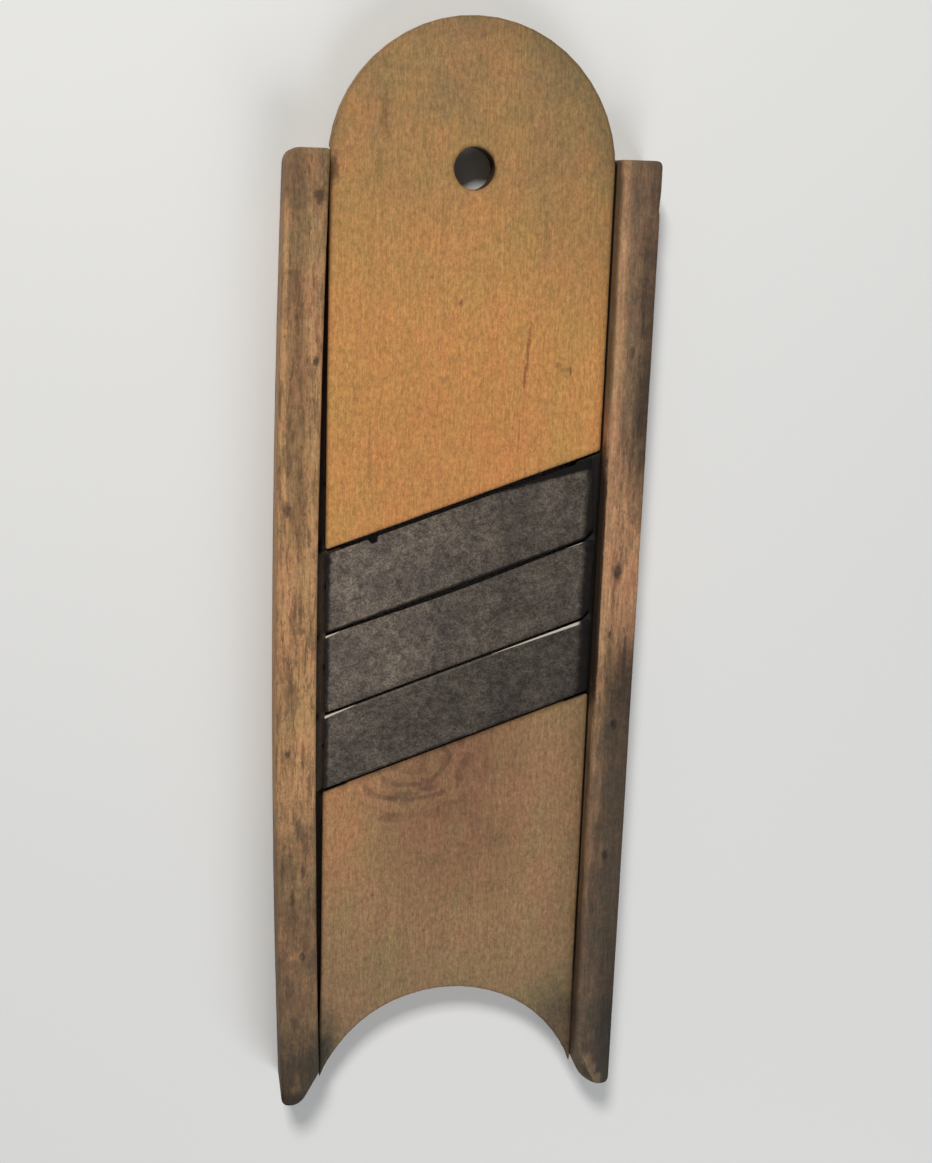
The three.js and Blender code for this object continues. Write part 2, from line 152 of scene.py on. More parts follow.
def make_floor():
    mesh = bpy.data.meshes.new("floor")
    corners = [(x * FLOOR_REACH, y * FLOOR_REACH, 0) for x, y in ((-1, -1), (1, -1), (1, 1), (-1, 1))]
    mesh.from_pydata(corners, [], [(0, 1, 2, 3)])
    floor = bpy.data.objects.new("floor", mesh)
    bpy.context.scene.collection.objects.link(floor)
    paint = Paint("pale_floor")
    paint.set("Base Color", (0.80, 0.80, 0.79, 1))
    paint.set("Roughness", 0.9)
    mesh.materials.append(paint.material)


# ---- a small kit for node materials -----------------------------------------

# The colour sockets of a Mix node, which has a set of the same names for each kind of value.
MIX_FACTOR = 0
MIX_A = 6
MIX_B = 7
MIX_RESULT = 2


class Paint:
    """One node material, whose colour is built up coat by coat."""

    def __init__(self, name):
        self.material = bpy.data.materials.new(name)
        self.material.use_nodes = True
        self.tree = self.material.node_tree
        self.shader = self.tree.nodes["Principled BSDF"]
        self.colour = None
        self.ragged = None
        self.grain = ()

    def add(self, kind, settings=None, **inputs):
        node = self.tree.nodes.new("ShaderNode" + kind)
        for key, value in (settings or {}).items():
            setattr(node, key, value)
        for key, value in inputs.items():
            self.feed(node.inputs[key.replace("_", " ")], value)
        return node

    def feed(self, socket, value):
        if isinstance(value, bpy.types.NodeSocket):
            self.tree.links.new(value, socket)
        else:
            socket.default_value = value

    def set(self, name, value):
        self.feed(self.shader.inputs[name], value)

    @functools.cached_property
    def place(self):
        """Each point's row millimetres, so that grain and marks stay put."""
        metres = self.add("TexCoord").outputs["Object"]
        scaled = self.add("VectorMath", {"operation": "SCALE"}, Scale=1 / MM)
        self.feed(scaled.inputs[0], metres)
        return scaled.outputs[0]

    def stretch(self, vector, scale, shift=(0, 0, 0)):
        node = self.add("Mapping", Vector=vector, Scale=scale, Location=shift)
        return node.outputs[0]

    def nudge(self, vector, amount, direction):
        """vector moved along direction by amount, a value socket."""
        step = self.add("VectorMath", {"operation": "SCALE"}, Scale=amount)
        step.inputs[0].default_value = direction
        total = self.add("VectorMath", {"operation": "ADD"})
        self.feed(total.inputs[0], vector)
        self.feed(total.inputs[1], step.outputs[0])
        return total.outputs[0]

    def noise(self, vector, scale=1.0, detail=3.0, roughness=0.5):
        node = self.add("TexNoise", Vector=vector, Scale=scale, Detail=detail, Roughness=roughness)
        return node.outputs["Fac"]

    def maths(self, operation, a, b=0.0):
        node = self.add("Math", {"operation": operation})
        self.feed(node.inputs[0], a)
        self.feed(node.inputs[1], b)
        return node.outputs[0]

    def times(self, a, b):
        return self.maths("MULTIPLY", a, b)

    def ramp(self, value, low, high, start, end, curve="LINEAR"):
        """start where value is low, end where it is high, and in between a line or another curve."""
        node = self.add("MapRange", {"interpolation_type": curve}, Value=value)
        numbers = {"From Min": low, "From Max": high, "To Min": start, "To Max": end}
        for key, number in numbers.items():
            node.inputs[key].default_value = number
        return node.outputs[0]

    def ease(self, value, low, high, start=0.0, end=1.0):
        """Smooth step of value from low to high, giving start to end."""
        return self.ramp(value, low, high, start, end, "SMOOTHSTEP")

    def blend(self, factor, a, b, mode="MIX"):
        node = self.add("Mix", {"data_type": "RGBA", "blend_type": mode})
        self.feed(node.inputs[MIX_FACTOR], factor)
        self.feed(node.inputs[MIX_A], a)
        self.feed(node.inputs[MIX_B], b)
        return node.outputs[MIX_RESULT]

    def coat(self, factor, tint):
        """Blends the colour made so far towards tint."""
        self.colour = self.blend(factor, self.colour, tint)

    def tone(self, value, low, high, dark, light):
        """Multiplies the colour made so far by dark where value is low, and by light where it is high."""
        tone = self.blend(self.ease(value, low, high), dark, light)
        self.colour = self.blend(1.0, self.colour, tone, "MULTIPLY")

    def attribute(self, name):
        return self.add("Attribute", {"attribute_name": name}).outputs["Fac"]

    def axes(self, vector):
        return self.add("SeparateXYZ", Vector=vector).outputs

    def bump(self, height, distance):
        node = self.add("Bump", Height=height, Distance=distance, Strength=1.0)
        self.set("Normal", node.outputs[0])


def grey(level):
    return (level, level, level, 1)


def srgb(red, green, blue):
    """A colour named by its 0 to 255 display values, as the linear colour a shader wants."""
    def linear(level):
        share = level / 255
        return share / 12.92 if share <= 0.04045 else ((share + 0.055) / 1.055) ** 2.4
    return (linear(red), linear(green), linear(blue), 1)


# ---- wood -------------------------------------------------------------------

# Painted shade, with some dirt, for the dark channels between rails and boards.
CREVICE_SHADE_BLACK = srgb(13, 11, 9)
SOOT = srgb(24, 19, 15)


def from_centre(paint):
    """How far each point is across from the centre line, up from the feet, and above the back, in mm."""
    across, along, height = paint.axes(paint.place)
    return (
        paint.maths("SUBTRACT", across, CENTRE_X / MM),
        paint.maths("SUBTRACT", along, FEET_Y / MM),
        height,
    )


def wood_base(paint, light, mid, dark, seed, streaks=0.5):
    """Grain along Y: broad faint bands, fine fibres, flecks and pores. Returns its relief."""
    sway = paint.noise(paint.stretch(paint.place, (0.03, 0.008, 0.03), (seed, 0, 0)), detail=2)
    swayed = paint.nudge(paint.place, paint.times(sway, 9.0), (1, 0, 0))
    banded = paint.stretch(swayed, (0.30, 0.008, 0.30), (seed, seed, 0))
    bands = paint.noise(banded, detail=4, roughness=0.6)
    fibrous = paint.stretch(swayed, (1.5, 0.10, 1.5), (0, seed, 0))
    fibres = paint.noise(fibrous, detail=3, roughness=0.7)
    flecked = paint.stretch(paint.place, (0.62, 0.36, 0.62), (seed, 0, seed))
    flecks = paint.noise(flecked, detail=8, roughness=0.92)
    pores = paint.noise(paint.stretch(swayed, (2.6, 0.35, 2.6), (seed, 0, seed)), detail=1)
    patchy = paint.stretch(paint.place, (0.07, 0.04, 0.07), (0, 0, seed))
    patches = paint.noise(patchy, detail=5, roughness=0.62)
    cloudy = paint.stretch(paint.place, (0.06, 0.03, 0.06), (seed, seed, seed))
    hues = paint.noise(cloudy, detail=9, roughness=0.82)
    band_tone = paint.ease(bands, 0.34, 0.68, 0.5 - streaks / 2, 0.5 + streaks / 2)
    paint.colour = paint.blend(band_tone, dark, light)
    paint.coat(paint.ease(patches, 0.34, 0.66, 0.85, 0.25), mid)
    paint.grain = (fibres, flecks, hues)
    pore_mask = paint.ease(pores, 0.62, 0.72)
    paint.coat(paint.times(pore_mask, 0.35), dark)
    ridges = paint.times(fibres, 0.8)
    relief = paint.maths("SUBTRACT", ridges, paint.times(pore_mask, 0.5))
    relief = paint.maths("ADD", relief, paint.times(flecks, 0.4))
    return relief


def grained(paint, grit):
    """Adds old wood's fine contrast, which shows through its dirt too. grit is the flecks' strength."""
    fibres, flecks, hues = paint.grain
    greener, redder = (0.92, 1.02, 0.95, 1), (1.06, 0.98, 1.01, 1)
    paint.tone(hues, 0.36, 0.64, greener, redder)
    paint.tone(fibres, 0.30, 0.70, grey(0.86), grey(1.12))
    paint.tone(flecks, 0.36, 0.64, grey(1 - 0.25 * grit), grey(1 + 0.23 * grit))


def veil(paint, mask, tint, cover):
    """A thin film of tint whose edge fades away slowly: mostly dirt, and a painted highlight
    on the right rail's inner arris.
    """
    cloud = paint.noise(paint.place, scale=0.05, detail=5, roughness=0.72)
    thickness = paint.times(mask, paint.ease(cloud, 0.32, 0.68, 0.7 * cover, 1.15 * cover))
    paint.coat(thickness, tint)


def weathered(paint, seed, dark, light):
    """Dark and bleached streaks along the wood, larger blotches and small dark specks."""
    streaky = paint.stretch(paint.place, (0.45, 0.045, 0.45), (seed, 0, 0))
    streaks = paint.noise(streaky, detail=6, roughness=0.76)
    blotchy = paint.stretch(paint.place, (0.15, 0.045, 0.15), (0, seed, 0))
    blotches = paint.noise(blotchy, detail=7, roughness=0.76)
    speckled = paint.stretch(paint.place, (0.60, 0.24, 0.60), (seed, seed, 0))
    specks = paint.noise(speckled, detail=2, roughness=0.6)
    paint.coat(paint.ease(streaks, 0.50, 0.62, 0.0, 0.6), dark)
    paint.coat(paint.ease(streaks, 0.47, 0.36, 0.0, 0.62), light)
    paint.coat(paint.ease(blotches, 0.51, 0.60, 0.0, 0.5), dark)
    paint.coat(paint.ease(specks, 0.64, 0.72, 0.0, 0.5), dark)


def span(paint, side, end):
    """The length of the flat step (side, end)."""
    squared = paint.maths("ADD", paint.times(side, side), paint.times(end, end))
    return paint.maths("SQRT", squared)


def blot(paint, x, y, half_width, half_length):
    """1 inside a ragged oval on the face, 0 outside. x and y are from the centre line and the feet."""
    across, along, _ = from_centre(paint)
    side = paint.maths("DIVIDE", paint.maths("SUBTRACT", across, x), half_width)
    end = paint.maths("DIVIDE", paint.maths("SUBTRACT", along, y), half_length)
    if paint.ragged is None:
        paint.ragged = paint.noise(paint.place, scale=0.6, detail=4, roughness=0.65)
    edge = paint.maths("ADD", span(paint, side, end), paint.times(paint.ragged, 1.2))
    return paint.ease(edge, 1.6, 0.9)


def stain(paint, spots, tint):
    """Darkens the wood to tint at each (x, y, half_width, half_length, strength) of spots."""
    for x, y, half_width, half_length, strength in spots:
        mask = paint.times(blot(paint, x, y, half_width, half_length), strength)
        paint.coat(mask, tint)


def grime_and_shade(paint, mask, tint, cover=1.0, lump=0.07, patchy=1.5):
    """Dirt where mask is high, and on the knives painted shade as well, eaten away in cloudy patches
    of about 1/lump millimetres.
    """
    cloud = paint.noise(paint.place, scale=lump, detail=6, roughness=0.74)
    unevenness = paint.times(paint.maths("SUBTRACT", cloud, 0.5), patchy)
    ragged = paint.maths("ADD", mask, unevenness)
    shown = paint.times(paint.ease(ragged, 0.2, 0.9), paint.ease(mask, 0.0, 0.25))
    paint.coat(paint.times(shown, cover), tint)


def both(paint, *masks):
    """The product of masks: high only where every one of them is high."""
    product = masks[0]
    for mask in masks[1:]:
        product = paint.times(product, mask)
    return product


def crevice_shade_and_dirt(paint, across_reach, top):
    """Black painted shade and dirt in the channel between rails and boards, out to across_reach and up to
    top mm above the boards' face. It thins out at the feet and at the left rail's top."""
    across, along, height = from_centre(paint)
    reach = paint.maths("ABSOLUTE", across)
    surface = FACE_Z / MM + top
    below_top = paint.ease(height, surface, surface - 1.2)
    above_ledge_back = paint.ease(height, LEDGE_BACK - 0.4, LEDGE_BACK + 0.6)
    within_reach = paint.ease(reach, across_reach + 1.0, across_reach - 0.5)
    past_ledge_edge = paint.ease(reach, LEDGE_INNER_EDGE - 1.2, LEDGE_INNER_EDGE + 0.4)
    between_rails = paint.ease(along, RAIL_LENGTH + 0.5, RAIL_LENGTH - 3.0)
    right = paint.ease(across, -10.0, 10.0)
    left = paint.maths("SUBTRACT", 1.0, right)
    left_foot = paint.times(left, paint.ease(along, 44.0, 20.0, 0.0, 0.85))
    right_foot = paint.times(right, paint.ease(along, 66.0, 34.0, 0.0, 0.85))
    left_top = paint.times(left, paint.ease(along, 362.0, 392.0, 0.0, 0.6))
    clean = paint.maths("ADD", paint.maths("ADD", left_foot, right_foot), left_top)
    thick = paint.maths("SUBTRACT", 0.93, clean)
    shade_and_dirt = both(paint, below_top, above_ledge_back, within_reach, past_ledge_edge, thick, between_rails)
    # Painted shade and dirt in the channel's hollow.
    paint.coat(shade_and_dirt, CREVICE_SHADE_BLACK)


def worn_arrises(paint, strength, tint):
    paint.coat(paint.times(paint.attribute("arris"), strength), tint)


def finish_wood(paint, relief, dull, shiny, depth, grit=1.0):
    """dull and shiny are the roughness of the grain's hollows and ridges; depth is its relief in mm."""
    grained(paint, grit)
    paint.set("Base Color", paint.colour)
    paint.set("Roughness", paint.ease(relief, 0.2, 1.1, dull, shiny))
    paint.set("Specular IOR Level", 0.3)
    paint.bump(relief, depth * MM)
    return paint.material


# Marks on the wood, each (x, y, half width, half length, strength): see stain().

UPPER_BOARD_CRACKS = (
    (25.0, 341, 0.8, 9, 0.6), (24.3, 332, 0.85, 11, 0.7), (23.5, 322, 0.8, 8, 0.75), (22.0, 300, 0.7, 9, 0.4),
)
UPPER_BOARD_SMUDGES = (
    (42.6, 325.6, 0.8, 2.6, 0.65), (40, 326, 2.8, 1.5, 0.35), (37.5, 328, 1.8, 1.3, 0.3),
    (-55.5, 403, 2.5, 9, 0.7), (-36, 424, 2.5, 12, 0.4), (-38, 404, 2, 7, 0.3),
    (-4, 352, 1.4, 1.6, 0.6), (-16, 362, 1.1, 1.0, 0.4), (12, 300, 1.0, 0.9, 0.3),
    (-40, 290, 1.2, 22, 0.18), (30, 380, 1.4, 16, 0.16), (2, 446, 3, 6, 0.2),
)


def upper_board_wood():
    paint = Paint("honey_board")
    light, mid, dark = srgb(202, 148, 86), srgb(194, 140, 80), srgb(182, 126, 72)
    relief = wood_base(paint, light, mid, dark, 3.0)
    across, along, height = from_centre(paint)
    clear_of_sides = both(paint, paint.ease(across, -52.0, -30.0), paint.ease(across, 46.0, 22.0))
    warm = both(paint, paint.ease(along, 365.0, 300.0), clear_of_sides)
    veil(paint, warm, srgb(196, 130, 76), 0.6)
    handled = paint.ease(along, 325.0, 455.0)
    veil(paint, handled, srgb(142, 114, 77), 0.86)
    from_arch = paint.add("VectorMath", {"operation": "DISTANCE"})
    paint.feed(from_arch.inputs[0], paint.add("CombineXYZ", X=across, Y=along).outputs[0])
    from_arch.inputs[1].default_value = (0, ARCH_CENTRE_Y, 0)
    rim = paint.ease(from_arch.outputs["Value"], 36.0, HALF_BOARD + 2)
    rim = both(paint, rim, paint.ease(along, 385.0, 415.0), paint.ease(across, -50.0, 50.0, 0.35, 0.8))
    grime_and_shade(paint, rim, srgb(104, 86, 58), 0.7, 0.12, 1.0)
    side = both(paint, paint.ease(across, 5.0, HALF_BOARD), paint.ease(along, 320.0, 410.0))
    veil(paint, side, srgb(132, 108, 72), 0.6)
    stain(paint, UPPER_BOARD_CRACKS, srgb(134, 76, 46))
    stain(paint, UPPER_BOARD_SMUDGES, srgb(78, 62, 38))
    # Painted shade on the hanging hole's wall, darkening the hole's inside.
    in_hole = paint.ease(from_arch.outputs["Value"], HOLE_RADIUS + 1.0, HOLE_RADIUS - 0.2)
    hole_wall_shade = both(paint, in_hole, paint.ease(height, FACE_Z / MM + 0.2, FACE_Z / MM - 2.5))
    paint.coat(paint.times(hole_wall_shade, 0.95), srgb(40, 30, 20))
    worn_arrises(paint, 0.55, srgb(92, 70, 46))
    crevice_shade_and_dirt(paint, HALF_BOARD + 4, -0.5)
    return finish_wood(paint, relief, 0.74, 0.58, 0.08, 1.2)


KNOT_X = -20.0                # the knot's centre
KNOT_Y = 158.0
KNOT_STRETCH = 1.35           # how much wider than long the knot's rings are
KNOT_REACH = 34.0
KNOT_RING_SPACING = 6.5
KNOT_ARC = (
    (-23, 142, 9, 3.2, 0.5), (-12, 145, 5, 2.2, 0.55),
    (-27, 132, 10, 3.2, 0.38), (-14.5, 149, 1.3, 1.5, 0.6),
)
LOWER_BOARD_SMUDGES = (
    (-12, 78, 1.2, 1.0, 0.4), (33, 112, 1.0, 1.6, 0.3), (-35, 96, 1.3, 1.1, 0.3), (8, 92, 0.9, 0.9, 0.35),
    (-38, 66, 1.6, 1.4, 0.35), (20, 120, 5, 4, 0.2), (18, 98, 6, 5, 0.16), (-10, 112, 5, 4, 0.15),
    (40, 150, 3, 2, 0.2), (-4, 70, 5, 3, 0.14),
)


def knot_rings(paint):
    """The bowl-shaped figure just under the knives: rings round a knot above the board's edge."""
    across, along, _ = from_centre(paint)
    side = paint.maths("DIVIDE", paint.maths("SUBTRACT", across, KNOT_X), KNOT_STRETCH)
    end = paint.maths("SUBTRACT", along, KNOT_Y)
    wobble = paint.times(paint.noise(paint.place, scale=0.12, detail=3), 6.0)
    radius = paint.maths("ADD", span(paint, side, end), wobble)
    waves = paint.maths("SINE", paint.times(radius, 2 * math.pi / KNOT_RING_SPACING))
    inner_fade = paint.ease(radius, 4.0, 12.0)
    fade = both(paint, paint.ease(radius, KNOT_REACH, KNOT_REACH * 0.55), inner_fade)
    patchy = paint.ease(paint.noise(paint.place, scale=0.10, detail=4), 0.28, 0.54)
    rings = both(paint, paint.ease(waves, 0.0, 0.9), fade, patchy)
    paint.coat(paint.times(rings, 0.52), srgb(86, 60, 46))
    stain(paint, KNOT_ARC, srgb(84, 62, 50))


def lower_board_wood():
    paint = Paint("brown_board")
    light, mid, dark = srgb(170, 132, 92), srgb(154, 119, 84), srgb(140, 106, 76)
    relief = wood_base(paint, light, mid, dark, 11.0, 0.6)
    across, along, _ = from_centre(paint)
    warm = both(paint, paint.ease(across, -25.0, -50.0), paint.ease(along, 80.0, 130.0))
    paint.coat(paint.times(warm, 0.6), srgb(176, 126, 84))
    near_middle = paint.ease(paint.maths("ABSOLUTE", across), 46.0, 4.0)
    red = both(paint, near_middle, paint.ease(along, 66.0, 128.0))
    veil(paint, red, srgb(124, 84, 62), 0.62)
    veil(paint, paint.ease(across, 36.0, HALF_BOARD), srgb(112, 88, 64), 0.4)
    foot = paint.ease(along, 110.0, 25.0)
    veil(paint, foot, srgb(126, 106, 76), 0.7)
    corner = both(paint, paint.ease(across, 30.0, 54.0), paint.ease(along, 66.0, 26.0))
    veil(paint, corner, srgb(78, 65, 50), 0.95)
    left_tip = both(paint, paint.ease(across, -45.0, -56.0), paint.ease(along, 52.0, 24.0))
    veil(paint, left_tip, srgb(58, 50, 39), 0.95)
    knot_rings(paint)
    stain(paint, LOWER_BOARD_SMUDGES, srgb(70, 54, 42))
    worn_arrises(paint, 0.5, srgb(72, 56, 40))
    crevice_shade_and_dirt(paint, HALF_BOARD + 4, -0.5)
    return finish_wood(paint, relief, 0.78, 0.62, 0.10, 1.3)


def rail_base(name, seed, light, mid, dark):
    paint = Paint(name)
    relief = wood_base(paint, light, mid, dark, seed, 0.75)
    return paint, relief


def rail_ends(paint, along, tint, foot_cover, top_cover):
    """Dirt from hands at the top and from standing on the feet."""
    foot = paint.ease(along, 62.0, 6.0)
    grime_and_shade(paint, foot, tint, foot_cover, 0.10)
    top = paint.ease(along, RAIL_LENGTH - 45, RAIL_LENGTH)
    grime_and_shade(paint, top, tint, top_cover, 0.09)


LEFT_TOE_RUB = ((-68.0, 13, 1.8, 6, 0.4), (-69.0, 8, 2.6, 3.4, 0.35))
LEFT_KNOTS = (
    (-61.8, 392, 3.2, 4.6, 0.75), (-62.7, 328.6, 1.9, 2.8, 0.85), (-73.6, 268.9, 1.8, 3.4, 0.7),
    (-64.9, 258.6, 1.1, 3.8, 0.5), (-73.2, 165.2, 1.4, 2.2, 0.85), (-66.2, 112.2, 1.4, 5.0, 0.6),
    (-70.8, 99.9, 1.6, 5.5, 0.6), (-66.2, 72.5, 1.8, 3.6, 0.8), (-70, 343, 1.3, 8, 0.35),
    (-67.5, 303, 0.9, 12, 0.3), (-71, 216, 1.2, 7, 0.3), (-64, 150, 1.0, 9, 0.35), (-69, 40, 2.4, 6, 0.4),
)


def left_rail_wood():
    light, mid, dark = srgb(205, 155, 107), srgb(185, 139, 96), srgb(154, 115, 81)
    paint, relief = rail_base("left_rail_wood", 23.0, light, mid, dark)
    weathered(paint, 5.0, srgb(84, 63, 46), srgb(194, 154, 108))
    across, along, _ = from_centre(paint)
    outer = both(paint, paint.ease(across, -64.0, -69.0), paint.ease(across, -75.0, -72.5))
    worn_dark = both(paint, outer, paint.ease(along, 240.0, 270.0, 0.05, 0.85))
    veil(paint, worn_dark, srgb(92, 68, 46), 0.6)
    low = paint.ease(along, 175.0, 95.0, 0.0, 0.8)
    grime_and_shade(paint, low, srgb(84, 68, 52), 0.75, 0.07)
    olive = paint.ease(along, 300.0, 400.0, 0.0, 0.55)
    grime_and_shade(paint, olive, srgb(132, 110, 78), 0.65, 0.05)
    rail_ends(paint, along, srgb(58, 50, 38), 0.85, 0.35)
    near_joint = both(paint, paint.ease(across, -65.0, -59.0), paint.ease(along, 58.0, 24.0))
    veil(paint, near_joint, srgb(52, 46, 37), 0.8)
    stain(paint, LEFT_TOE_RUB, srgb(128, 98, 68))
    veil(paint, paint.ease(along, 9.0, 3.0), srgb(30, 24, 19), 0.9)
    stain(paint, LEFT_KNOTS, srgb(48, 36, 28))
    # Painted highlight on the worn arrises, fading out towards the foot.
    edge = both(paint, paint.attribute("arris"), paint.ease(along, 6.0, 40.0))
    paint.coat(paint.times(edge, 0.35), srgb(160, 130, 94))
    crevice_shade_and_dirt(paint, RAIL_INNER_REACH, 1.2)
    return finish_wood(paint, relief, 0.8, 0.6, 0.14)


RIGHT_TOE_RUB = ((64, 14, 2.4, 4.5, 0.5), (66.4, 9, 2.4, 4.2, 0.5), (69.2, 4, 2.4, 3.8, 0.5))
RIGHT_KNOTS = (
    (65.4, 242.2, 2.4, 5.0, 0.75), (67.4, 174.6, 1.9, 3.0, 0.85), (66.8, 113.7, 1.7, 4.2, 0.8),
    (62.2, 11.3, 1.3, 1.3, 0.9), (66, 334, 1.6, 4.5, 0.5), (70, 349, 1.2, 8, 0.4),
    (64, 300, 0.9, 10, 0.35), (63.2, 215, 1.2, 2.0, 0.5), (70, 205, 1.6, 7, 0.4),
    (62, 88, 1.1, 6, 0.35), (68, 60, 2.0, 7, 0.4),
)


def right_rail_wood():
    light, mid, dark = srgb(194, 145, 105), srgb(171, 128, 94), srgb(142, 106, 78)
    paint, relief = rail_base("right_rail_wood", 37.0, light, mid, dark)
    across, along, _ = from_centre(paint)
    weathered(paint, 15.0, srgb(88, 64, 49), srgb(200, 154, 112))
    wander = paint.noise(paint.stretch(paint.place, (0.20, 0.022, 0.20)), detail=7, roughness=0.76)
    sideways = paint.times(paint.maths("SUBTRACT", wander, 0.5), 16.0)
    wandering = paint.maths("ADD", across, sideways)
    outer = paint.ease(wandering, 58.5, 65.5)
    edge_side = paint.ease(wandering, 65.5, 71.0)
    low = paint.ease(along, 232.0, 182.0)
    high = paint.ease(along, 270.0, 326.0)
    side = paint.ease(along, 256.0, 296.0)
    veil(paint, both(paint, outer, low), srgb(46, 39, 31), 0.95)
    veil(paint, both(paint, outer, high), srgb(104, 85, 69), 0.78)
    outermost = both(paint, paint.ease(wandering, 65.0, 71.0), paint.ease(along, 240.0, 190.0))
    veil(paint, outermost, srgb(38, 32, 25), 0.6)
    top_side = both(paint, edge_side, side, paint.ease(along, 400.0, 350.0, 0.55, 1.0))
    veil(paint, top_side, srgb(60, 47, 36), 0.84)
    veil(paint, paint.ease(along, 222.0, 150.0), srgb(86, 73, 57), 0.62)
    # Painted highlight along the right rail's inner arris.
    inner_arris_highlight = both(paint, paint.ease(across, 64.0, 60.5), paint.ease(along, 188.0, 214.0))
    veil(paint, inner_arris_highlight, srgb(196, 148, 108), 0.42)
    rail_ends(paint, along, srgb(56, 50, 38), 0.55, 0.25)
    foot_outside = both(paint, paint.ease(across, 66.0, 70.5), paint.ease(along, 96.0, 40.0))
    veil(paint, foot_outside, srgb(43, 40, 32), 0.8)
    stain(paint, RIGHT_TOE_RUB, srgb(136, 110, 88))
    stain(paint, RIGHT_KNOTS, srgb(42, 32, 25))
    arris = paint.attribute("arris")
    # Painted highlight on the toe's worn front arris.
    toe_arris = both(paint, arris, paint.ease(along, 26.0, 19.0), paint.ease(across, 72.0, 69.0))
    paint.coat(paint.times(toe_arris, 0.5), srgb(164, 138, 108))
    # Painted highlight along the worn inner arris, above the foot.
    inner_side = paint.ease(across, 63.0, 60.0)
    edge = both(paint, arris, inner_side, paint.ease(along, 50.0, 120.0))
    paint.coat(paint.times(edge, 0.4), srgb(164, 130, 98))
    inner_foot = both(paint, inner_side, paint.ease(along, 120.0, 60.0))
    veil(paint, inner_foot, srgb(84, 71, 58), 0.8)
    inner_wall = paint.ease(across, RAIL_INNER + 1.6, RAIL_INNER + 0.4)
    dull_wall = both(paint, inner_wall, paint.ease(along, 296.0, 320.0))
    veil(paint, dull_wall, srgb(94, 80, 62), 0.75)
    beside_knives = both(paint, paint.ease(along, 158.0, 204.0), paint.ease(along, 318.0, 272.0))
    soot_and_shade = both(paint, inner_wall, beside_knives)
    grime_and_shade(paint, soot_and_shade, SOOT, 0.9, 0.12, 1.2)
    crevice_shade_and_dirt(paint, RAIL_INNER_REACH, 1.2)
    return finish_wood(paint, relief, 0.8, 0.6, 0.14)


# ---- steel ------------------------------------------------------------------

KNIFE_BLACK = srgb(18, 15, 14)
# Black spots at the knives' ends: soot, with painted shade from the rails.
KNIFE_SHADE_AND_SOOT = (
    (54.5, 256.5, 3.2, 3.0, 0.9), (54.5, 250.5, 3.0, 2.4, 0.9), (54.5, 222, 3.0, 4.0, 0.9),
    (54.5, 214.5, 2.6, 3.4, 0.9), (54, 186, 4.0, 4.0, 0.7), (-57, 246, 3.0, 3.0, 0.6),
)

# Each knife's shade, painted seam shade, painted edge shade and painted highlights: see knife_steel().
KNIFE_LOOKS = {
    "upper_knife": (1.0, 0.9, (12, 58, 0.2, 5.0, 1.0), ()),
    "middle_knife": (
        0.95, 0.1, (34, 58, 0.1, 1.6, 0.8),
        ((-51.5, -57.5, 0.2, 0.9, 1.0), (44, 51, 0.1, 0.5, 0.6)),
    ),
    "lower_knife": (
        0.68, 0.7, (30, 58, 0.1, 1.2, 0.3),
        # The last, faint strip is painted light that lightens the shade in the seam above the lower knife.
        ((-44, -57.5, 0.1, 1.2, 1.0), (14, 51.5, 0.1, 1.3, 1.0), (-46, 16, 0.9, 0.9, 0.07)),
    ),
}


def edge_strip(paint, across, strip, soft):
    """A strip along the cutting edge from start to end across. Its width goes from start_width to
    end_width, and its border is soft mm wide on either side."""
    start, end, start_width, end_width, strength = strip
    width = paint.ramp(across, start, end, start_width, end_width)
    inside = paint.maths("SUBTRACT", width, paint.attribute("from_edge"))
    left, right = min(start, end), max(start, end)
    along = both(paint, paint.ease(across, left - 1, left + 1), paint.ease(across, right + 1, right - 1))
    return paint.times(both(paint, paint.ease(inside, -soft, soft), along), strength)


